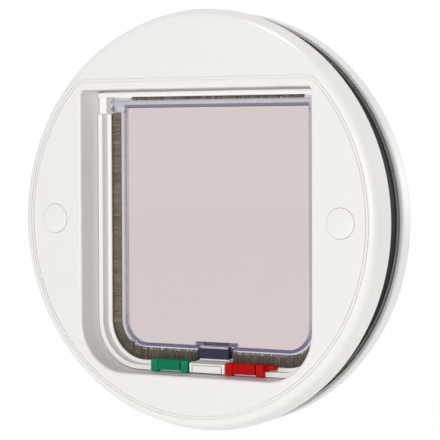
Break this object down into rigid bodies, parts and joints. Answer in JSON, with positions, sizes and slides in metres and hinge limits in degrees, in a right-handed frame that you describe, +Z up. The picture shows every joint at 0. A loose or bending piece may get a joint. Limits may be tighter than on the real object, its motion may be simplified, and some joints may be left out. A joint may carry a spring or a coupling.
{
  "type": "cat flap",
  "caption": "Round cat flap for a glass pane, with clamped front and rear frames, a rubber seal, a tinted swinging flap in bristle seals and sliding lock catches.",
  "frame": {"origin": "centre of the pane cut-out, on the plane where the seal meets the rear frame", "axes": "+X to the right seen from the front, +Y from the front face through the pane to the rear, +Z up"},
  "size_m": [0.2616, 0.0454, 0.2616],
  "materials": {
    "white_plastic": "satin white",
    "seal_rubber": "matt black",
    "screw_steel": "bright",
    "pin_steel": "blackened",
    "tinted_clear_plastic": "clear, slightly tinted",
    "magnet": "dark",
    "bristle": "dark brown bristles",
    "green_plastic": "satin green",
    "red_plastic": "satin red"
  },
  "bodies": {
    "frame": {"front_frame": "white_plastic", "rear_frame": "white_plastic", "seal_ring": "seal_rubber", "screw_cap_left": "white_plastic", "screw_cap_right": "white_plastic", "frame_screws": "screw_steel", "flap_housing": "white_plastic", "housing_screws": "screw_steel", "hinge_retainer": "white_plastic", "magnet_housing": "white_plastic", "magnet_cover": "white_plastic", "frame_magnet": "magnet", "brush_left": "bristle", "brush_right": "bristle", "brush_top": "bristle"},
    "flap": {"flap_panel": "tinted_clear_plastic", "magnet_holder": "tinted_clear_plastic", "flap_magnet": "magnet"},
    "green_slider": {"green_catch": "green_plastic", "green_pin": "pin_steel"},
    "red_slider": {"red_catch": "red_plastic", "red_pin": "pin_steel"}
  },
  "joints": [
    {"name": "flap_hinge", "type": "hinge", "parent": "frame", "child": "flap", "pos_m": [0, -0.00285, 0.072], "axis": [1, 0, 0], "range_deg": [-75, 75]},
    {"name": "green_slide", "type": "slide", "parent": "frame", "child": "green_slider", "axis": [-1, 0, 0], "range_m": [0, 0.008]},
    {"name": "red_slide", "type": "slide", "parent": "frame", "child": "red_slider", "axis": [1, 0, 0], "range_m": [0, 0.008]}
  ]
}
